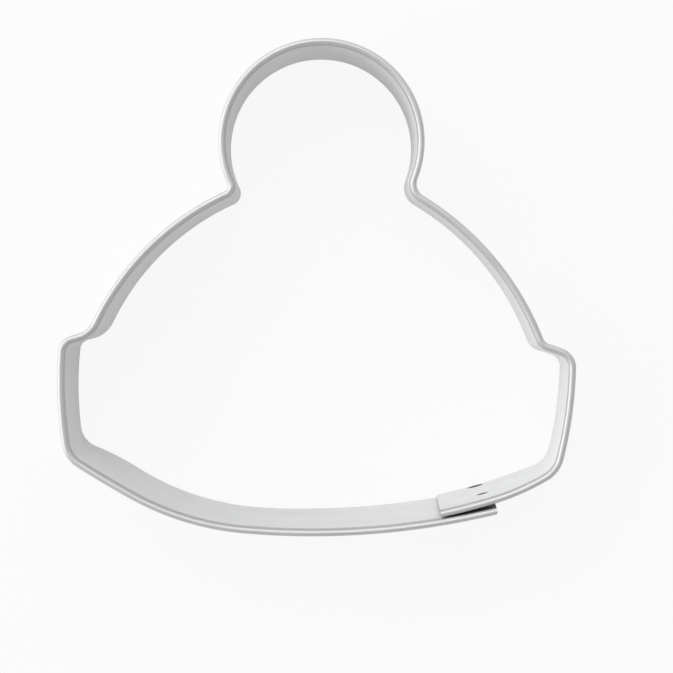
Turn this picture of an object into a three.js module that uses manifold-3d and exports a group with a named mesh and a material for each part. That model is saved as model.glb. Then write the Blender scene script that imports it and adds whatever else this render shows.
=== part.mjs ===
// A cookie cutter in the shape of a bobble hat, in millimetres, +Z up, standing on its cutting edge.
// It is one strip of tinned steel sheet. The upper side is rolled over outwards into a safe rim, the lower
// side is left raw to cut. The strip is bent to the outline of the hat and lapped on itself near the right end
// of the brim, the outer end over the inner one, and two weld stitches, each one round spot, hold both layers.

import * as THREE from "three";
import { mergeVertices } from "three/addons/utils/BufferGeometryUtils.js";
import Module from "manifold-3d";

// The strip and its rolled rim
const SHEET = 0.3; // thickness of the steel sheet
const HEIGHT = 22; // cutting edge to the top of the rim
const HEM_SPACE = 0.4; // free space inside the rolled rim
const HEM_LEG = 1.9; // straight part of the rolled rim below its bend
const BEND_STEPS = 8; // facets round a small bend

// The outline of the cookie from above, along the inside of the wall at the rim. The corners run
// anticlockwise from the right foot of the brim to the tail, the outer end of the strip. x and y place the
// sharp corner, fillet rounds it, and bulge is how far the side after it bows outwards. The cutting edge lies
// a little aside of the rim, because the walls lean: leanX and leanY move the corner there, and edgeBulge is
// the bow of the side.
const RIGHT_FOOT = { x: 34.3, y: -26.1, fillet: 4, bulge: 0.55, edgeBulge: 0.55, leanX: 0.25, leanY: 0.15 };
const RIGHT_PEAK = { x: 36.5, y: -10.2, fillet: 1.9, bulge: 0.02, edgeBulge: 0.02, leanX: 0.3, leanY: 0 };
const RIGHT_STEP = { x: 32.2, y: -8.7, fillet: 2.4, bulge: 2.8, edgeBulge: 3, leanX: 0, leanY: 0 };
const RIGHT_NECK = { x: 12.5, y: 13.8, fillet: 3, bulge: 21.3, edgeBulge: 21, leanX: -0.3, leanY: 0.45 };
const LEFT_NECK = { x: -11.1, y: 13.8, fillet: 1.8, bulge: 3, edgeBulge: 3, leanX: 0.2, leanY: 0 };
const LEFT_STEP = { x: -32.3, y: -7.1, fillet: 4.5, bulge: 0.02, edgeBulge: 0.02, leanX: 0.4, leanY: 0.3 };
const LEFT_PEAK = { x: -36.3, y: -8.2, fillet: 1.6, bulge: 0.55, edgeBulge: 0.55, leanX: 0.4, leanY: 0.4 };
const LEFT_FOOT = { x: -35.5, y: -24.2, fillet: 3.6, bulge: 0.3, edgeBulge: -0.9, leanX: -0.1, leanY: 1.25 };
const BOTTOM_BEND = { x: -19.3, y: -33.4, fillet: 40, bulge: 2.3, edgeBulge: 2.3, leanX: -1.9, leanY: 1.7 };
const TAIL = { x: 26, y: -31.77, leanX: 0, leanY: 1.9 };

// The lap: the inner end runs along the inside of the outer end, and leaves it at the knee, level with the
// tail.
const LAP = 8.1; // length of strip that lies double
const KNEE = { fillet: 25, bulge: 0.34, edgeBulge: 0.02 }; // bend of the inner layer where the lap ends
const END_GAP_AT_RIM = 0.2; // from the rolled rim of the inner end to the outer layer
const END_GAP_AT_EDGE = 0.1; // between the two layers at the inner end, along the cutting edge
const TAIL_GAP_AT_RIM = 0.6; // the same two gaps at the tail
const TAIL_GAP_AT_EDGE = 0.5;
const END_ROUND = 1; // round of the lower corner at each end of the strip
const TAIL_ROUND = 0.45; // round of the rolled rim at the tail, seen from above

// The two weld stitches through the lap, each a round plug of melted steel with a hollow on either face, where
// the electrodes pressed. fromTail is from the tail to the middle of the plug, along the strip, and height is
// from the cutting edge to its middle.
const UPPER_STITCH = { fromTail: 1.5, height: 13.5, diameter: 1.65 };
const LOWER_STITCH = { fromTail: 2.05, height: 1.35, diameter: 2.3 };
const WELD_HOLLOW = 0.06; // depth of the electrode's hollow
const WELD_CLEARANCE = 0.06; // from the plug to the sheet round it, which keeps them separate solids
const WELD_SIDES = 24; // facets round a plug
const HOLLOW_STEPS = 3; // facets from the middle of a hollow to its edge

// How finely the bends are cut into facets
const LONGEST_FACET = 2.5;
const LARGEST_TURN = THREE.MathUtils.degToRad(10);

const STEEL = { color: 0xc9cbca, roughness: 0.32, metalness: 1 };
const SCORCHED_STEEL = { color: 0x5d5d5c, roughness: 0.7, metalness: 1 };

const HEM_WIDTH = 2 * SHEET + HEM_SPACE;

const wasm = await Module();
wasm.setup();

// A side between two corners is an arc. Its radius is positive where the arc turns left, so a point of the
// arc minus the centre, divided by the radius, points out of the cookie.
function sideThrough(start, end, bulge) {
  const chord = end.clone().sub(start);
  const half = chord.length() / 2;
  const radius = (half * half + bulge * bulge) / (2 * bulge);
  const outward = new THREE.Vector2(chord.y, -chord.x).normalize();
  const middle = start.clone().lerp(end, 0.5);
  return { centre: middle.addScaledVector(outward, bulge - radius), radius };
}

function outwardAt(arc, point) {
  return point.clone().sub(arc.centre).divideScalar(arc.radius).normalize();
}

// The point of an arc on the line from its centre through another point
function footOn(arc, point) {
  const spoke = point.clone().sub(arc.centre).setLength(Math.abs(arc.radius));
  return spoke.add(arc.centre);
}

// The round of a corner touches both sides, so its centre lies one fillet from each of them, inside the
// outline where the outline turns left and outside it where the outline turns right.
function roundBetween(before, after, corner, fillet) {
  const turn = outwardAt(before, corner).cross(outwardAt(after, corner));
  const radius = Math.sign(turn) * fillet;
  const reachBefore = Math.abs(before.radius - radius);
  const reachAfter = Math.abs(after.radius - radius);
  const across = after.centre.clone().sub(before.centre);
  const apart = across.length();
  const along = (apart ** 2 + reachBefore ** 2 - reachAfter ** 2) / (2 * apart);
  const aside = Math.sqrt(reachBefore ** 2 - along ** 2);
  across.normalize();
  const square = new THREE.Vector2(-across.y, across.x);
  const meeting = before.centre.clone().addScaledVector(across, along);
  const choices = [aside, -aside].map((side) => meeting.clone().addScaledVector(square, side));
  choices.sort((a, b) => a.distanceTo(corner) - b.distanceTo(corner));
  return { centre: choices[0], radius };
}

function trimmed(arc, start, end) {
  const from = Math.atan2(start.y - arc.centre.y, start.x - arc.centre.x);
  const to = Math.atan2(end.y - arc.centre.y, end.x - arc.centre.x);
  const turn = THREE.MathUtils.euclideanModulo((to - from) * Math.sign(arc.radius), 2 * Math.PI);
  return { ...arc, from, sweep: turn * Math.sign(arc.radius) };
}

function arcLength(arc) {
  return Math.abs(arc.radius * arc.sweep);
}

function pointAlong(arc, share) {
  const angle = arc.from + arc.sweep * share;
  const reach = Math.abs(arc.radius);
  return new THREE.Vector2(Math.cos(angle), Math.sin(angle)).multiplyScalar(reach).add(arc.centre);
}

// The strip's path at one height, as a chain of arcs from the inner end to the tail. lean is 0 at the rim and
// 1 at the cutting edge. The lap offsets are from the outer layer's inside to the inner layer's inside.
function pathAt(lean, endOffset, tailOffset) {
  const corners = [
    RIGHT_FOOT,
    RIGHT_PEAK,
    RIGHT_STEP,
    RIGHT_NECK,
    LEFT_NECK,
    LEFT_STEP,
    LEFT_PEAK,
    LEFT_FOOT,
    BOTTOM_BEND,
    TAIL,
  ];
  const at = (corner) =>
    new THREE.Vector2(corner.x + lean * corner.leanX, corner.y + lean * corner.leanY);

  const bulgeOf = ({ bulge, edgeBulge }) => THREE.MathUtils.lerp(bulge, edgeBulge, lean);

  const outerLayer = sideThrough(at(BOTTOM_BEND), at(TAIL), bulgeOf(BOTTOM_BEND));
  const lapTurn = -LAP / outerLayer.radius;
  const lapStart = at(TAIL).rotateAround(outerLayer.centre, lapTurn);
  const innerEnd = lapStart.clone().addScaledVector(outwardAt(outerLayer, lapStart), -endOffset);
  const knee = at(TAIL).addScaledVector(outwardAt(outerLayer, at(TAIL)), -tailOffset);
  const lapBulge = LAP ** 2 / (8 * outerLayer.radius);

  const points = [innerEnd, knee, ...corners.map(at)];
  const bends = [KNEE, ...corners.slice(0, -1)];
  const bulges = [lapBulge, ...bends.map(bulgeOf)];

  const sides = bulges.map((bulge, i) => sideThrough(points[i], points[i + 1], bulge));
  const arcs = [];
  let start = innerEnd;
  bends.forEach(({ fillet }, i) => {
    const round = roundBetween(sides[i], sides[i + 1], points[i + 1], fillet);
    const leave = footOn(sides[i], round.centre);
    const arrive = footOn(sides[i + 1], round.centre);
    arcs.push(trimmed(sides[i], start, leave), trimmed(round, leave, arrive));
    start = arrive;
  });
  arcs.push(trimmed(sides.at(-1), start, at(TAIL)));
  return arcs;
}

const rimPath = pathAt(0, HEM_WIDTH + END_GAP_AT_RIM, HEM_WIDTH + TAIL_GAP_AT_RIM);
const edgePath = pathAt(1, SHEET + END_GAP_AT_EDGE, SHEET + TAIL_GAP_AT_EDGE);

// Stations along the strip: where the inside of the wall is at the rim and at the cutting edge, and which way
// is out of the cookie there. Both paths have the same arcs, so they share the same facets.
function stationAt(arcIndex, share) {
  const rim = pointAlong(rimPath[arcIndex], share);
  const edge = pointAlong(edgePath[arcIndex], share);
  return {
    rim,
    edge,
    rimOut: outwardAt(rimPath[arcIndex], rim),
    edgeOut: outwardAt(edgePath[arcIndex], edge),
  };
}

const stations = [stationAt(0, 0)];
rimPath.forEach((arc, arcIndex) => {
  const byLength = arcLength(arc) / LONGEST_FACET;
  const byTurn = Math.abs(arc.sweep) / LARGEST_TURN;
  const steps = Math.ceil(Math.max(byLength, byTurn, 1));
  for (let step = 1; step <= steps; step++) {
    stations.push(stationAt(arcIndex, step / steps));
  }
});

// The wall at a height: a point on its inside and the way out
function wallAt(station, z) {
  const share = z / HEIGHT;
  return {
    point: station.edge.clone().lerp(station.rim, share),
    out: station.edgeOut.clone().lerp(station.rimOut, share).normalize(),
  };
}

// The strip's section: x is the distance out from the inside of the wall, y is the height
function stripSection() {
  const bend = new THREE.Vector2(HEM_WIDTH / 2, HEIGHT - HEM_WIDTH / 2);
  const legEnd = bend.y - HEM_LEG;
  const bendPoints = (radius, from, to) =>
    Array.from({ length: BEND_STEPS + 1 }, (_, i) => {
      const angle = THREE.MathUtils.lerp(from, to, i / BEND_STEPS);
      return new THREE.Vector2(Math.cos(angle), Math.sin(angle)).multiplyScalar(radius).add(bend);
    });
  return [
    new THREE.Vector2(SHEET, 0),
    ...bendPoints(HEM_SPACE / 2, Math.PI, 0),
    new THREE.Vector2(HEM_WIDTH - SHEET, legEnd),
    new THREE.Vector2(HEM_WIDTH, legEnd),
    ...bendPoints(HEM_WIDTH / 2, 0, Math.PI),
    new THREE.Vector2(0, 0),
  ];
}

// The section carried along every station, closed by a flat cut at each end of the strip
function bandGeometry() {
  const section = stripSection();
  const size = section.length;
  const positions = [];
  for (const station of stations) {
    for (const { x, y } of section) {
      const wall = wallAt(station, y);
      wall.point.addScaledVector(wall.out, x);
      positions.push(wall.point.x, wall.point.y, y);
    }
  }
  const faces = [];
  for (let ring = 0; ring < stations.length - 1; ring++) {
    for (let i = 0; i < size; i++) {
      const a = ring * size + i;
      const b = ring * size + ((i + 1) % size);
      faces.push(a, b + size, b, a, a + size, b + size);
    }
  }
  const lastRing = (stations.length - 1) * size;
  for (const [a, b, c] of THREE.ShapeUtils.triangulateShape(section, [])) {
    faces.push(a, b, c);
    faces.push(lastRing + a, lastRing + c, lastRing + b);
  }
  return new THREE.BufferGeometry()
    .setAttribute("position", new THREE.Float32BufferAttribute(positions, 3))
    .setIndex(faces);
}

// A frame on the inside of the wall: X along the strip, Y out through the sheet, Z up the wall
function wallFrame(station, height) {
  const { point, out } = wallAt(station, height);
  const up = new THREE.Vector3(station.rim.x - station.edge.x, station.rim.y - station.edge.y, HEIGHT);
  up.normalize();
  const along = new THREE.Vector3(out.x, out.y, 0).cross(up).normalize();
  const through = up.clone().cross(along);
  return new THREE.Matrix4().makeBasis(along, through, up).setPosition(point.x, point.y, height);
}

// What is cut away to round a square corner whose sides run along +X and +Y from the origin
function cornerCutter(round, depth) {
  const outside = new THREE.Shape();
  outside.moveTo(-round, -round);
  outside.lineTo(round, -round);
  outside.lineTo(round, 0);
  outside.absarc(round, round, round, -Math.PI / 2, Math.PI, true);
  outside.lineTo(-round, round);
  outside.closePath();
  return new THREE.ExtrudeGeometry(outside, {
    depth,
    bevelEnabled: false,
    curveSegments: BEND_STEPS,
  }).translate(0, 0, -depth / 2);
}

// The lower corners of the strip's two ends, and the end of the rolled rim at the tail
function endCutters() {
  const first = stations[0];
  const last = stations.at(-1);
  const lowerCorner = (turn) =>
    cornerCutter(END_ROUND, SHEET + END_GAP_AT_EDGE)
      .rotateX(Math.PI / 2)
      .rotateZ(turn)
      .translate(0, SHEET / 2, 0);
  const rimEnd = cornerCutter(TAIL_ROUND, 2 * (HEM_WIDTH + HEM_LEG))
    .rotateZ(Math.PI)
    .translate(0, HEM_WIDTH, 0);
  return [
    lowerCorner(0).applyMatrix4(wallFrame(first, 0)),
    lowerCorner(Math.PI).applyMatrix4(wallFrame(last, 0)),
    rimEnd.applyMatrix4(wallFrame(last, HEIGHT)),
  ];
}

// How far the inside of the outer layer lies from a point, measured along the way out
function reachToOuterLayer(path, point, out) {
  const { centre, radius } = path.at(-1);
  const offset = point.clone().sub(centre);
  const along = offset.dot(out);
  return Math.sqrt(along ** 2 + radius ** 2 - offset.lengthSq()) - along;
}

// The station at a distance from the inner end, measured along the strip at a height
function stationOnInnerLayer(distance, height) {
  let walked = 0;
  for (let arcIndex = 0; arcIndex < rimPath.length; arcIndex++) {
    const edgeLength = arcLength(edgePath[arcIndex]);
    const length = THREE.MathUtils.lerp(edgeLength, arcLength(rimPath[arcIndex]), height / HEIGHT);
    if (walked + length >= distance) {
      return stationAt(arcIndex, (distance - walked) / length);
    }
    walked += length;
  }
  throw new Error("the stitch lies past the end of the strip");
}

// The place of a stitch on the inner layer, and the depth of both layers there
function stitchSeat(stitch) {
  const station = stationOnInnerLayer(LAP - stitch.fromTail, stitch.height);
  const rimReach = reachToOuterLayer(rimPath, station.rim, station.rimOut);
  const edgeReach = reachToOuterLayer(edgePath, station.edge, station.edgeOut);
  const reach = THREE.MathUtils.lerp(edgeReach, rimReach, stitch.height / HEIGHT);
  return { stitch, frame: wallFrame(station, stitch.height), depth: reach + SHEET };
}

// A weld stitch, turned round the axis through both layers, flush with them at its edge
function stitchGeometry({ stitch, depth }) {
  const radius = stitch.diameter / 2;
  const nearHollow = Array.from({ length: HOLLOW_STEPS + 1 }, (_, i) => {
    const share = i / HOLLOW_STEPS;
    return new THREE.Vector2(radius * share, WELD_HOLLOW * (1 - share ** 2));
  });
  const farHollow = nearHollow.map(({ x, y }) => new THREE.Vector2(x, depth - y)).reverse();
  return new THREE.LatheGeometry([...nearHollow, ...farHollow], WELD_SIDES);
}

// The hole in both layers that a weld stitch fills
function stitchHole({ stitch, frame, depth }) {
  const radius = stitch.diameter / 2 + WELD_CLEARANCE;
  return new THREE.CylinderGeometry(radius, radius, depth + 2 * SHEET, WELD_SIDES)
    .translate(0, depth / 2, 0)
    .applyMatrix4(frame);
}

function solidOf(geometry) {
  const bare = geometry.clone();
  bare.deleteAttribute("normal");
  bare.deleteAttribute("uv");
  const merged = mergeVertices(bare);
  return new wasm.Manifold(
    new wasm.Mesh({
      numProp: 3,
      vertProperties: new Float32Array(merged.attributes.position.array),
      triVerts: new Uint32Array(merged.index.array),
    }),
  );
}

function geometryOf(solid) {
  const { vertProperties, triVerts } = solid.getMesh();
  const geometry = new THREE.BufferGeometry()
    .setAttribute("position", new THREE.BufferAttribute(vertProperties, 3))
    .setIndex(new THREE.BufferAttribute(triVerts, 1));
  geometry.computeVertexNormals();
  return geometry;
}

function namedMesh(name, geometry, finish) {
  const mesh = new THREE.Mesh(geometry, new THREE.MeshStandardMaterial(finish));
  mesh.name = name;
  return mesh;
}

const seats = {
  upper_stitch: stitchSeat(UPPER_STITCH),
  lower_stitch: stitchSeat(LOWER_STITCH),
};

let band = solidOf(bandGeometry());
for (const cutter of [...endCutters(), ...Object.values(seats).map(stitchHole)]) {
  band = band.subtract(solidOf(cutter));
}

const cookieCutter = new THREE.Group();
cookieCutter.add(namedMesh("band", geometryOf(band), STEEL));
for (const [name, seat] of Object.entries(seats)) {
  const stitch = namedMesh(name, stitchGeometry(seat), SCORCHED_STEEL);
  stitch.applyMatrix4(seat.frame);
  cookieCutter.add(stitch);
}

// The origin is under the middle of the outline, level with the cutting edge
const middle = new THREE.Box3().setFromObject(cookieCutter, true).getCenter(new THREE.Vector3());
for (const piece of cookieCutter.children) {
  piece.position.x -= middle.x;
  piece.position.y -= middle.y;
}

export default cookieCutter;
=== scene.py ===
import math
from collections import namedtuple

import bmesh
import bpy
from mathutils import Matrix, Vector


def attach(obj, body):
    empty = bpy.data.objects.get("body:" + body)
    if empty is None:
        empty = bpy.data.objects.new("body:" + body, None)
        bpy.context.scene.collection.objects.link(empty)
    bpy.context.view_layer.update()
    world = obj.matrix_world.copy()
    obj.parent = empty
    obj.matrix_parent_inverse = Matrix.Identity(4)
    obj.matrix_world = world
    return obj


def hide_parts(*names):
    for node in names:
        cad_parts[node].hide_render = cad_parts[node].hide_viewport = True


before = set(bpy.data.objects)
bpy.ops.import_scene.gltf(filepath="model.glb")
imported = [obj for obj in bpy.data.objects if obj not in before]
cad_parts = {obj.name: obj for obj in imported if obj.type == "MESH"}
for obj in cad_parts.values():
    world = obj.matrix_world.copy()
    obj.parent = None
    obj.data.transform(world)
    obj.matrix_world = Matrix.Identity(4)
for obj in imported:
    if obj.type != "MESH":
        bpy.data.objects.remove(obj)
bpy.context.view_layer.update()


# The view: a long lens straight above the cutter, looking down on the rolled rim with the pom-pom at the
# top. The walls are seen only because the view is in perspective, so its height sets how wide they look.
MM = 0.001
VIEW_CENTRE = (2.87 * MM, -7.13 * MM)
VIEW_HEIGHT = 438.5 * MM
LENS = 154.4
SENSOR_WIDTH = 36.0

scene = bpy.context.scene
scene.view_settings.view_transform = "Standard"
camera_data = bpy.data.cameras.new("camera")
camera_data.lens = LENS
camera_data.sensor_width = SENSOR_WIDTH
camera = bpy.data.objects.new("camera", camera_data)
camera.location = (*VIEW_CENTRE, VIEW_HEIGHT)
scene.collection.objects.link(camera)
scene.camera = camera


# The floor: a pale round table that the cutter stands on, which turns up into a low cove at its edge. It is
# near white to the eye and in the metal, and it keeps the cutter's soft shadow.
FLOOR_RADIUS = 1.8
COVE_RADIUS = 0.5
COVE_STEPS = 12
FLOOR_SIDES = 96
FLOOR_MERGE = 1.0 * MM
FLOOR_COLOUR = (0.7, 0.7, 0.7, 1.0)
GLOW_COLOUR = (1.0, 1.0, 1.0, 1.0)
GLOW_STRENGTH = 1.0
FLOOR_GLOW_SHARE = 0.9
ORIGIN = (0.0, 0.0, 0.0)
UPRIGHT = (0.0, 0.0, 1.0)


def math_result(tree, operation, *values):
    """The result of a math node on sockets and numbers."""
    node = tree.nodes.new("ShaderNodeMath")
    node.operation = operation
    for socket, value in zip(node.inputs, values):
        if isinstance(value, bpy.types.NodeSocket):
            tree.links.new(value, socket)
        else:
            socket.default_value = value
    return node.outputs["Value"]


def turn_line(bm, line, axis, sides, merge):
    """Joins a line of vertices and turns it once about an axis through the origin."""
    for before, after in zip(line, line[1:]):
        bm.edges.new((before, after))
    bmesh.ops.spin(bm, geom=bm.verts[:] + bm.edges[:], cent=ORIGIN, axis=axis,
                   angle=math.tau, steps=sides, use_merge=True)
    bmesh.ops.remove_doubles(bm, verts=bm.verts, dist=merge)
    for face in bm.faces:
        face.smooth = True


def put_in_scene(bm, name):
    """Makes an object of a finished mesh."""
    mesh = bpy.data.meshes.new(name)
    bm.to_mesh(mesh)
    bm.free()
    piece = bpy.data.objects.new(name, mesh)
    scene.collection.objects.link(piece)
    return piece


floor_material = bpy.data.materials.new("pale_floor")
floor_material.use_nodes = True
tree = floor_material.node_tree
tree.nodes.clear()
floor_output = tree.nodes.new("ShaderNodeOutputMaterial")
floor_diffuse = tree.nodes.new("ShaderNodeBsdfDiffuse")
floor_diffuse.inputs["Color"].default_value = FLOOR_COLOUR
floor_glow = tree.nodes.new("ShaderNodeEmission")
floor_glow.inputs["Color"].default_value = GLOW_COLOUR
floor_glow.inputs["Strength"].default_value = GLOW_STRENGTH
ray = tree.nodes.new("ShaderNodeLightPath").outputs
seen_or_glossy = math_result(tree, "MAXIMUM", ray["Is Camera Ray"], ray["Is Glossy Ray"])
seen_any_way = math_result(tree, "MAXIMUM", seen_or_glossy, ray["Is Transmission Ray"])
glow_share = math_result(tree, "MULTIPLY", seen_any_way, FLOOR_GLOW_SHARE)
floor_mix = tree.nodes.new("ShaderNodeMixShader")
tree.links.new(glow_share, floor_mix.inputs["Fac"])
tree.links.new(floor_diffuse.outputs["BSDF"], floor_mix.inputs[1])
tree.links.new(floor_glow.outputs["Emission"], floor_mix.inputs[2])
tree.links.new(floor_mix.outputs["Shader"], floor_output.inputs["Surface"])

# A ring of vertices well before the cove keeps the middle of the floor flat in its shading
bm = bmesh.new()
floor_line = [bm.verts.new(ORIGIN), bm.verts.new((FLOOR_RADIUS - COVE_RADIUS, 0.0, 0.0))]
for step in range(COVE_STEPS + 1):
    rise = math.pi / 2 * step / COVE_STEPS
    floor_line.append(bm.verts.new((FLOOR_RADIUS + COVE_RADIUS * math.sin(rise), 0.0,
                                    COVE_RADIUS * (1 - math.cos(rise)))))
turn_line(bm, floor_line, UPRIGHT, FLOOR_SIDES, FLOOR_MERGE)
floor = put_in_scene(bm, "floor")
floor.data.materials.append(floor_material)


# The light: three broad soft panels round the upper left of the picture, in an even pale room. Their
# azimuth is measured from the left of the picture towards its top.
ROOM_COLOUR = (1.0, 1.0, 1.0, 1.0)
ROOM_STRENGTH = 0.42
PANEL_DISTANCE = 1.2
PANEL_SIZE = 1.2
Panel = namedtuple("Panel", "name azimuth elevation power")
PANELS = [Panel("left_panel", 0.0, 24.0, 7.4),
          Panel("corner_panel", 45.0, 38.0, 3.8),
          Panel("top_panel", 90.0, 55.0, 4.8)]

world = bpy.data.worlds.new("room")
world.use_nodes = True
room = world.node_tree.nodes["Background"]
room.inputs["Color"].default_value = ROOM_COLOUR
room.inputs["Strength"].default_value = ROOM_STRENGTH
scene.world = world

for panel in PANELS:
    azimuth = math.radians(panel.azimuth)
    elevation = math.radians(panel.elevation)
    level = Vector((-math.cos(azimuth), math.sin(azimuth), 0.0))
    direction = level * math.cos(elevation) + Vector((0.0, 0.0, math.sin(elevation)))
    lamp_data = bpy.data.lights.new(panel.name, "AREA")
    lamp_data.shape = "DISK"
    lamp_data.size = PANEL_SIZE
    lamp_data.energy = panel.power
    lamp = bpy.data.objects.new(panel.name, lamp_data)
    lamp.location = direction * PANEL_DISTANCE
    lamp.rotation_euler = (-direction).to_track_quat("-Z", "Y").to_euler()
    scene.collection.objects.link(lamp)


# The band: one strip of tinned steel sheet, rolled over outwards along its upper side into an open hem and
# left raw along its lower side. It is bent round a former into the outline of a bobble hat, corner by
# corner, and its two ends lap near the right end of the brim.
SHEET = 0.3 * MM
HEIGHT = 22.0 * MM
HEM_SPACE = 0.4 * MM
HEM_LEG = 1.9 * MM
HEM_WIDTH = 2 * SHEET + HEM_SPACE
HEM_STEPS = 14
BURR = 0.05 * MM

# The sharp corners of the outline along the inside of the wall at the rim, anticlockwise from the right
# foot of the brim to the tail, in millimetres: the place, the round, and how far the next side bows
# outwards. The walls lean, so the cutting edge has bows of its own, and its corners lie aside of the rim's.
Corner = namedtuple("Corner", "x y fillet bulge edge_bulge lean_x lean_y")
RIGHT_FOOT = Corner(34.3, -26.1, 4.0, 0.55, 0.55, 0.25, 0.15)
RIGHT_PEAK = Corner(36.5, -10.2, 1.9, 0.02, 0.02, 0.3, 0.0)
RIGHT_STEP = Corner(32.2, -8.7, 2.4, 2.8, 3.0, 0.0, 0.0)
RIGHT_NECK = Corner(12.5, 13.8, 3.0, 21.3, 21.0, -0.3, 0.45)
LEFT_NECK = Corner(-11.1, 13.8, 1.8, 3.0, 3.0, 0.2, 0.0)
LEFT_STEP = Corner(-32.3, -7.1, 4.5, 0.02, 0.02, 0.4, 0.3)
LEFT_PEAK = Corner(-36.3, -8.2, 1.6, 0.55, 0.55, 0.4, 0.4)
LEFT_FOOT = Corner(-35.5, -24.2, 3.6, 0.3, -0.9, -0.1, 1.25)
BOTTOM_BEND = Corner(-19.3, -33.4, 40.0, 2.3, 2.3, -1.9, 1.7)
TAIL = Corner(26.0, -31.77, 0.0, 0.0, 0.0, 0.0, 1.9)
BENDS = [RIGHT_FOOT, RIGHT_PEAK, RIGHT_STEP, RIGHT_NECK, LEFT_NECK,
         LEFT_STEP, LEFT_PEAK, LEFT_FOOT, BOTTOM_BEND]

# The lap: the inner end runs along the inside of the outer end and leaves it at the knee, beside the tail
LAP = 8.1 * MM
KNEE_FILLET = 25.0 * MM
KNEE_BULGE = 0.34 * MM
KNEE_EDGE_BULGE = 0.02 * MM
END_GAP_AT_RIM = 0.2 * MM
END_GAP_AT_EDGE = 0.1 * MM
TAIL_GAP_AT_RIM = 0.6 * MM
TAIL_GAP_AT_EDGE = 0.5 * MM

Arc = namedtuple("Arc", "centre radius start sweep", defaults=(0.0, 0.0))


def side_through(start, end, bulge):
    """The arc from start to end that bows out by bulge. Its radius is positive where it turns left."""
    chord = end - start
    radius = ((chord.length / 2) ** 2 + bulge ** 2) / (2 * bulge)
    outward = Vector((chord.y, -chord.x)).normalized()
    return Arc((start + end) / 2 + outward * (bulge - radius), radius)


def outward_at(arc, point):
    return ((point - arc.centre) / arc.radius).normalized()


def foot_on(arc, point):
    return arc.centre + (point - arc.centre).normalized() * abs(arc.radius)


def round_between(before, after, corner, fillet):
    """The arc of a rounded corner, which touches both sides."""
    turn = outward_at(before, corner).cross(outward_at(after, corner))
    radius = math.copysign(fillet, turn)
    reach_before = abs(before.radius - radius)
    reach_after = abs(after.radius - radius)
    across = after.centre - before.centre
    along = (across.length_squared + reach_before ** 2 - reach_after ** 2) / (2 * across.length)
    aside = math.sqrt(reach_before ** 2 - along ** 2)
    across.normalize()
    square = Vector((-across.y, across.x))
    meeting = before.centre + across * along
    centres = [meeting + square * aside, meeting - square * aside]
    return Arc(min(centres, key=lambda centre: (centre - corner).length), radius)


def trimmed(arc, start, end):
    """The part of an arc between two of its points."""
    first = math.atan2(start.y - arc.centre.y, start.x - arc.centre.x)
    last = math.atan2(end.y - arc.centre.y, end.x - arc.centre.x)
    way = math.copysign(1.0, arc.radius)
    return Arc(arc.centre, arc.radius, first, way * (((last - first) * way) % math.tau))


def arc_length(arc):
    return abs(arc.radius * arc.sweep)


def point_along(arc, share):
    angle = arc.start + arc.sweep * share
    return arc.centre + Vector((math.cos(angle), math.sin(angle))) * abs(arc.radius)


def blended(at_rim, at_edge, lean):
    return at_rim + (at_edge - at_rim) * lean


def strip_path(lean, end_offset, tail_offset):
    """The strip's arcs from its inner end to the tail, at the rim for lean 0 and at the edge for lean 1."""
    corners = [Vector((mark.x + lean * mark.lean_x, mark.y + lean * mark.lean_y)) * MM
               for mark in [*BENDS, TAIL]]
    bulges = [blended(mark.bulge, mark.edge_bulge, lean) * MM for mark in BENDS]
    tail = corners[-1]
    outer_layer = side_through(corners[-2], tail, bulges[-1])
    turn_back = Matrix.Rotation(-LAP / outer_layer.radius, 2)
    lap_start = outer_layer.centre + turn_back @ (tail - outer_layer.centre)
    inner_end = lap_start - outward_at(outer_layer, lap_start) * end_offset
    knee = tail - outward_at(outer_layer, tail) * tail_offset

    points = [inner_end, knee, *corners]
    lap_bulge = LAP ** 2 / (8 * outer_layer.radius)
    bulges = [lap_bulge, blended(KNEE_BULGE, KNEE_EDGE_BULGE, lean), *bulges]
    fillets = [KNEE_FILLET, *(mark.fillet * MM for mark in BENDS)]
    sides = [side_through(points[i], points[i + 1], bulge) for i, bulge in enumerate(bulges)]
    arcs = []
    start = inner_end
    for i, fillet in enumerate(fillets):
        corner = round_between(sides[i], sides[i + 1], points[i + 1], fillet)
        leave = foot_on(sides[i], corner.centre)
        arrive = foot_on(sides[i + 1], corner.centre)
        arcs += [trimmed(sides[i], start, leave), trimmed(corner, leave, arrive)]
        start = arrive
    return arcs + [trimmed(sides[-1], start, tail)]


rim_path = strip_path(0.0, HEM_WIDTH + END_GAP_AT_RIM, HEM_WIDTH + TAIL_GAP_AT_RIM)
edge_path = strip_path(1.0, SHEET + END_GAP_AT_EDGE, SHEET + TAIL_GAP_AT_EDGE)

# The section of the strip at its inner end: up the outside of the wall, round the inside of the hem, round
# its lip, over the top and down the inside of the wall. The lowest stretch has points for the rounded ends,
# and the first of them stands above the burr.
END_ROUND = 1.0 * MM
END_ROUND_STEPS = 6
FIRST_FOOT_STEP = 2
RUBBED = 0.8 * MM
CREASE_FADE = 0.8 * MM


def bend_points(middle, radius, first, last):
    angles = [first + (last - first) * step / HEM_STEPS for step in range(HEM_STEPS + 1)]
    return [middle + Vector((math.cos(angle), math.sin(angle))) * radius for angle in angles]


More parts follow.
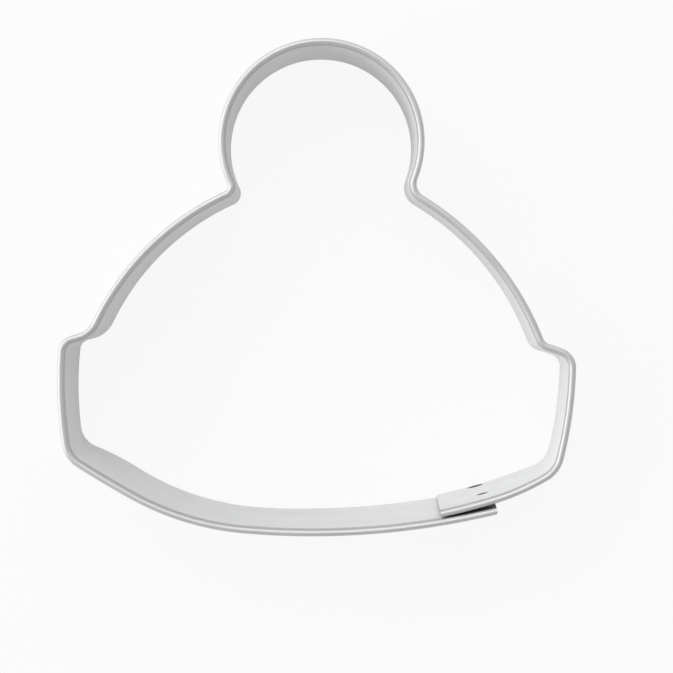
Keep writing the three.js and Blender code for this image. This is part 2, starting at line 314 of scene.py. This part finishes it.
foot_heights = [END_ROUND * (1 - math.cos(math.pi / 2 * step / END_ROUND_STEPS))
                for step in range(FIRST_FOOT_STEP, END_ROUND_STEPS + 1)]
bend = Vector((HEM_WIDTH / 2, HEIGHT - HEM_WIDTH / 2))
lip = bend.y - HEM_LEG
rubbed_from = bend.y - RUBBED
crease_from = rubbed_from - CREASE_FADE
section = [Vector((BURR, 0.0)), Vector((SHEET - BURR, 0.0)), Vector((SHEET, BURR))]
section += [Vector((SHEET, height)) for height in [*foot_heights, rubbed_from]]
section += bend_points(bend, HEM_SPACE / 2, math.pi, 0.0)
section += [Vector((HEM_WIDTH - SHEET, lip + BURR)), Vector((HEM_WIDTH - SHEET + BURR, lip)),
            Vector((HEM_WIDTH - BURR, lip)), Vector((HEM_WIDTH, lip + BURR))]
section += bend_points(bend, HEM_WIDTH / 2, 0.0, math.pi)
section += [Vector((0.0, height)) for height in [rubbed_from, crease_from, *reversed(foot_heights)]]
section += [Vector((0.0, BURR))]

bm = bmesh.new()
section_number = bm.verts.layers.int.new("section_number")
inner_end = point_along(rim_path[0], 0.0)
end_out = outward_at(rim_path[0], inner_end)
ring = []
for number, place in enumerate(section):
    spot = inner_end + end_out * place.x
    vert = bm.verts.new((spot.x, spot.y, place.y))
    vert[section_number] = number
    ring.append(vert)
first_ring = [bm.edges.new((ring[i - 1], ring[i])) for i in range(len(ring))]

# The section is carried round the outline arc by arc
LONGEST_STEP = 0.6 * MM
LARGEST_TURN = math.radians(3.0)
Station = namedtuple("Station", "arc_index share distance")
stations = [Station(0, 0.0, 0.0)]
last_ring = first_ring
for arc_index, arc in enumerate(rim_path):
    steps = max(math.ceil(arc_length(arc) / LONGEST_STEP), math.ceil(abs(arc.sweep) / LARGEST_TURN))
    spun = bmesh.ops.spin(bm, geom=last_ring,
                          cent=(arc.centre.x, arc.centre.y, 0.0), axis=UPRIGHT,
                          angle=arc.sweep, steps=steps, use_duplicate=False)
    last_ring = [item for item in spun["geom_last"] if isinstance(item, bmesh.types.BMEdge)]
    begun = stations[-1].distance
    for step in range(1, steps + 1):
        stations.append(Station(arc_index, step / steps, begun + arc_length(arc) * step / steps))
bmesh.ops.contextual_create(bm, geom=first_ring)
bmesh.ops.contextual_create(bm, geom=last_ring)
strip_length = stations[-1].distance

# The walls lean, and both ends of the strip have a rounded lower corner. The rolled rim is rounded at the
# tail.
TAIL_ROUND = 0.45 * MM
ROUND_REACH = 3.0 * MM


def set_back(size, from_side):
    """How far a round lies behind the strip's end, at a distance from the strip's side."""
    inside = min(size, max(0.0, size - from_side))
    return size - math.sqrt(size ** 2 - inside ** 2)


# Painted shade: a thin dark line is painted into the crease at the foot of the rim, and the inside of the
# lap, where shade falls between the two layers, is painted dark.
CREASE_PAINTED_SHADE = 0.4
CREASE_TOP = 0.3 * MM
LAP_MARGIN = 0.3 * MM
LAP_FADE = 0.6 * MM


def painted_shade_at(place, from_inner_end, from_tail):
    """How much painted shade a place on the section gets, at its distances from the two ends of the strip.
    """
    inside = place.x < SHEET / 2
    from_end = from_tail if inside else from_inner_end
    if place.y <= bend.y and from_end < LAP - LAP_MARGIN:
        return min(1.0, (LAP - LAP_MARGIN - from_end) / LAP_FADE)
    if inside and place.y < bend.y + CREASE_TOP:
        return CREASE_PAINTED_SHADE * min(1.0, max(0.0, (place.y - crease_from) / CREASE_FADE))
    return 0.0


burnish = bm.verts.layers.float.new("burnish")
painted_shade = bm.verts.layers.float.new("painted_shade")
strip_uv = bm.loops.layers.uv.new("strip")
run_of = [0.0]
for before, after in zip(section, section[1:]):
    run_of.append(run_of[-1] + (after - before).length)
bm.verts.ensure_lookup_table()
bm.verts.index_update()
for vert in bm.verts:
    station = stations[vert.index // len(section)]
    place = section[vert[section_number]]
    rim = point_along(rim_path[station.arc_index], station.share)
    edge = point_along(edge_path[station.arc_index], station.share)
    outward = outward_at(rim_path[station.arc_index], rim)
    along = Vector((-outward.y, outward.x))
    after_end = max(0.0, 1 - station.distance / ROUND_REACH)
    before_tail = max(0.0, 1 - (strip_length - station.distance) / ROUND_REACH)
    foot = set_back(END_ROUND, place.y)
    rim_end = set_back(TAIL_ROUND, HEM_WIDTH - place.x)
    vert.co.xy += (edge - rim) * (1 - place.y / HEIGHT)
    vert.co.xy += along * (foot * after_end - max(foot, rim_end) * before_tail)
    vert[burnish] = min(1.0, max(0.0, (place.y - rubbed_from) / RUBBED))
    vert[painted_shade] = painted_shade_at(place, station.distance, strip_length - station.distance)
for face in bm.faces:
    face.smooth = True
    for loop in face.loops:
        station = stations[loop.vert.index // len(section)]
        loop[strip_uv].uv = (station.distance, run_of[loop.vert[section_number]])

xs = [vert.co.x for vert in bm.verts]
ys = [vert.co.y for vert in bm.verts]
middle = Vector(((min(xs) + max(xs)) / 2, (min(ys) + max(ys)) / 2, 0.0))
bmesh.ops.translate(bm, verts=bm.verts, vec=-middle)
bmesh.ops.recalc_face_normals(bm, faces=bm.faces)
bm.verts.layers.int.remove(section_number)
band = put_in_scene(bm, "band_strip")

# The tin is frosted, with a fine mottle drawn out along the strip and broad faint clouds. The rolls that
# turned the rim over have rubbed it, so it is smoother, shinier and darker than the wall.
Tone = namedtuple("Tone", "position colour")
TIN_DARK = Tone(0.35, (0.79, 0.795, 0.80, 1.0))
TIN_LIGHT = Tone(0.65, (0.86, 0.865, 0.87, 1.0))
RIM_TINT = (0.78, 0.78, 0.78, 1.0)
# The tint of the painted shade in the crease under the rim and inside the lap
PAINTED_SHADE_TINT = (0.3, 0.3, 0.3, 1.0)
TIN_SPECULAR = 0.0
WALL_SHINE = 0.25
RIM_SHINE = 0.5
TIN_GRAIN = (900.0, 2800.0, 1.0)
GRAIN_DETAIL = 3.0
GRAIN_DEPTH = 0.002 * MM
TIN_CLOUDS = (160.0, 220.0, 1.0)
CLOUD_DETAIL = 2.0
CLOUD_SPAN = (0.3, 0.7)
MOTTLE_SHARE = 0.5
WALL_ROUGHNESS = (0.40, 0.50)
RIM_SMOOTHER = 0.05
WHOLE_SPAN = (0.0, 1.0)


def stretched_noise(tree, vector, detail, scale):
    """A noise on a vector that is stretched first."""
    stretch = tree.nodes.new("ShaderNodeVectorMath")
    stretch.operation = "MULTIPLY"
    stretch.inputs[1].default_value = scale
    tree.links.new(vector, stretch.inputs[0])
    noise = tree.nodes.new("ShaderNodeTexNoise")
    noise.inputs["Scale"].default_value = 1.0
    noise.inputs["Detail"].default_value = detail
    tree.links.new(stretch.outputs[0], noise.inputs["Vector"])
    return noise.outputs["Fac"]


def mesh_value(tree, name):
    """A value that the mesh carries at its vertices."""
    attribute = tree.nodes.new("ShaderNodeAttribute")
    attribute.attribute_name = name
    return attribute.outputs["Fac"]


def colour_between(tree, value, first, last):
    """The colour that a value picks between two tones."""
    ramp = tree.nodes.new("ShaderNodeValToRGB")
    for element, tone in zip(ramp.color_ramp.elements, (first, last)):
        element.position = tone.position
        element.color = tone.colour
    tree.links.new(value, ramp.inputs["Fac"])
    return ramp.outputs["Color"]


def darkened(tree, colour, share, tint):
    """A colour, multiplied by a tint as far as the share says."""
    mix = tree.nodes.new("ShaderNodeMixRGB")
    mix.blend_type = "MULTIPLY"
    mix.inputs["Color2"].default_value = tint
    tree.links.new(share, mix.inputs["Fac"])
    tree.links.new(colour, mix.inputs["Color1"])
    return mix.outputs["Color"]


def moved_to(tree, value, span, new_span):
    """A value moved from one span to another."""
    node = tree.nodes.new("ShaderNodeMapRange")
    node.inputs["From Min"].default_value = span[0]
    node.inputs["From Max"].default_value = span[1]
    node.inputs["To Min"].default_value = new_span[0]
    node.inputs["To Max"].default_value = new_span[1]
    tree.links.new(value, node.inputs["Value"])
    return node.outputs["Result"]


tin = bpy.data.materials.new("tinned_steel")
tin.use_nodes = True
tree = tin.node_tree
tin_shader = tree.nodes["Principled BSDF"]
tin_shader.inputs["Specular IOR Level"].default_value = TIN_SPECULAR
strip_map = tree.nodes.new("ShaderNodeUVMap")
strip_map.uv_map = "strip"
grain = stretched_noise(tree, strip_map.outputs["UV"], GRAIN_DETAIL, TIN_GRAIN)
clouds = stretched_noise(tree, strip_map.outputs["UV"], CLOUD_DETAIL, TIN_CLOUDS)
rubbed = mesh_value(tree, "burnish")
painted_shade_share = mesh_value(tree, "painted_shade")

mottle = math_result(tree, "MULTIPLY", math_result(tree, "ADD", grain, clouds), MOTTLE_SHARE)
wall_colour = colour_between(tree, mottle, TIN_DARK, TIN_LIGHT)
rim_colour = darkened(tree, wall_colour, rubbed, RIM_TINT)
# Painted shade darkens the colour in the crease under the rim and inside the lap
tin_colour = darkened(tree, rim_colour, painted_shade_share, PAINTED_SHADE_TINT)
tree.links.new(tin_colour, tin_shader.inputs["Base Color"])
tin_shine = moved_to(tree, rubbed, WHOLE_SPAN, (WALL_SHINE, RIM_SHINE))
tree.links.new(tin_shine, tin_shader.inputs["Metallic"])
wall_finish = moved_to(tree, clouds, CLOUD_SPAN, WALL_ROUGHNESS)
tin_finish = math_result(tree, "MULTIPLY_ADD", rubbed, -RIM_SMOOTHER, wall_finish)
tree.links.new(tin_finish, tin_shader.inputs["Roughness"])
grain_bump = tree.nodes.new("ShaderNodeBump")
grain_bump.inputs["Distance"].default_value = GRAIN_DEPTH
tree.links.new(grain, grain_bump.inputs["Height"])
tree.links.new(grain_bump.outputs["Normal"], tin_shader.inputs["Normal"])
band.data.materials.append(tin)
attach(band, "root")
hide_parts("band")


# The weld stitches: two spot welds that hold the lap, one in the wall and one by the cutting edge. Each is a
# round plug of melted steel through both layers, dull and dark from the heat, with a shallow hollow on
# either face where the electrodes pressed.
Stitch = namedtuple("Stitch", "node from_tail height diameter")
UPPER_STITCH = Stitch("upper_stitch", 1.5 * MM, 13.5 * MM, 1.65 * MM)
LOWER_STITCH = Stitch("lower_stitch", 2.05 * MM, 1.35 * MM, 2.3 * MM)
WELD_HOLLOW = 0.06 * MM
WELD_MERGE = 0.001 * WELD_HOLLOW
WELD_CLEARANCE = 0.02 * MM
WELD_SIDES = 64
HOLLOW_STEPS = 8
PUNCH_OVERRUN = SHEET
THROUGH_LAP = (0.0, 1.0, 0.0)


def place_on_inner_layer(distance, height):
    """The arc, and the share of it, at a distance from the inner end along the strip at a height."""
    for arc_index, (rim_arc, edge_arc) in enumerate(zip(rim_path, edge_path)):
        length = blended(arc_length(rim_arc), arc_length(edge_arc), 1 - height / HEIGHT)
        if distance <= length:
            return arc_index, distance / length
        distance -= length


def reach_to_outer_layer(path, arc_index, share):
    """How far the inside of the outer layer lies from the inside of the inner one."""
    point = point_along(path[arc_index], share)
    out = outward_at(path[arc_index], point)
    offset = point - path[-1].centre
    along = offset.dot(out)
    return math.sqrt(along ** 2 + path[-1].radius ** 2 - offset.length_squared) - along


def stitch_seat(stitch):
    """A stitch's frame, X along the strip, Y out through the lap, Z up the wall, and the lap's depth."""
    arc_index, share = place_on_inner_layer(LAP - stitch.from_tail, stitch.height)
    lean = 1 - stitch.height / HEIGHT
    rim = point_along(rim_path[arc_index], share)
    edge = point_along(edge_path[arc_index], share)
    out = blended(outward_at(rim_path[arc_index], rim), outward_at(edge_path[arc_index], edge), lean)
    up = (rim - edge).to_3d() + Vector((0.0, 0.0, HEIGHT))
    up.normalize()
    along = out.to_3d().cross(up).normalized()
    turn = Matrix((along, up.cross(along), up)).transposed().to_4x4()
    place = blended(rim, edge, lean).to_3d() - middle
    place.z = stitch.height
    reach = blended(reach_to_outer_layer(rim_path, arc_index, share),
                    reach_to_outer_layer(edge_path, arc_index, share), lean)
    return Matrix.Translation(place) @ turn, reach + SHEET


# The welds are scorched darkest at the edge, and the scale on them is dull
WELD_CORE = Tone(0.3, (0.09, 0.088, 0.086, 1.0))
WELD_SCORCH = Tone(0.9, (0.04, 0.038, 0.037, 1.0))
WELD_METALLIC = 0.25
WELD_SPECULAR = 0.2
WELD_ROUGHNESS = (0.55, 0.8)
SCALE_GRAIN = (5000.0, 5000.0, 5000.0)
SCALE_DETAIL = 2.0

weld = bpy.data.materials.new("weld_steel")
weld.use_nodes = True
tree = weld.node_tree
weld_shader = tree.nodes["Principled BSDF"]
weld_shader.inputs["Metallic"].default_value = WELD_METALLIC
weld_shader.inputs["Specular IOR Level"].default_value = WELD_SPECULAR
weld_colour = colour_between(tree, mesh_value(tree, "scorch"), WELD_CORE, WELD_SCORCH)
tree.links.new(weld_colour, weld_shader.inputs["Base Color"])
weld_place = tree.nodes.new("ShaderNodeTexCoord")
scale_grain = stretched_noise(tree, weld_place.outputs["Object"], SCALE_DETAIL, SCALE_GRAIN)
weld_finish = moved_to(tree, scale_grain, WHOLE_SPAN, WELD_ROUGHNESS)
tree.links.new(weld_finish, weld_shader.inputs["Roughness"])

WELD_CREASE = math.radians(40.0)
punch_bm = bmesh.new()
for stitch in (UPPER_STITCH, LOWER_STITCH):
    seat, depth = stitch_seat(stitch)
    radius = stitch.diameter / 2
    bm = bmesh.new()
    scorch_share = bm.verts.layers.float.new("scorch")
    hollow = [(radius * step / HOLLOW_STEPS, WELD_HOLLOW * (1 - (step / HOLLOW_STEPS) ** 2))
              for step in range(HOLLOW_STEPS + 1)]
    outline = hollow + [(across, depth - sunk) for across, sunk in reversed(hollow)]
    weld_line = []
    for across, through in outline:
        vert = bm.verts.new((across, through, 0.0))
        vert[scorch_share] = across / radius
        weld_line.append(vert)
    turn_line(bm, weld_line, THROUGH_LAP, WELD_SIDES, WELD_MERGE)
    bmesh.ops.recalc_face_normals(bm, faces=bm.faces)
    bmesh.ops.transform(bm, matrix=seat, verts=bm.verts)
    piece = put_in_scene(bm, stitch.node + "_weld")
    piece.data.set_sharp_from_angle(angle=WELD_CREASE)
    piece.data.materials.append(weld)
    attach(piece, "root")
    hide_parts(stitch.node)

    lying = Matrix.Translation((0.0, depth / 2, 0.0)) @ Matrix.Rotation(math.pi / 2, 4, "X")
    punch_radius = radius + WELD_CLEARANCE
    bmesh.ops.create_cone(punch_bm, cap_ends=True, segments=WELD_SIDES,
                          radius1=punch_radius, radius2=punch_radius,
                          depth=depth + 2 * PUNCH_OVERRUN, matrix=seat @ lying)

# The welds go through both layers of the band, so the band is pierced for them
BAND_CREASE = math.radians(50.0)
punch = put_in_scene(punch_bm, "punch")
piercing = band.modifiers.new("piercing", "BOOLEAN")
piercing.operation = "DIFFERENCE"
piercing.solver = "EXACT"
piercing.object = punch
pierced = band.evaluated_get(bpy.context.evaluated_depsgraph_get())
band.data = bpy.data.meshes.new_from_object(pierced)
band.modifiers.clear()
bpy.data.objects.remove(punch)
band.data.set_sharp_from_angle(angle=BAND_CREASE)
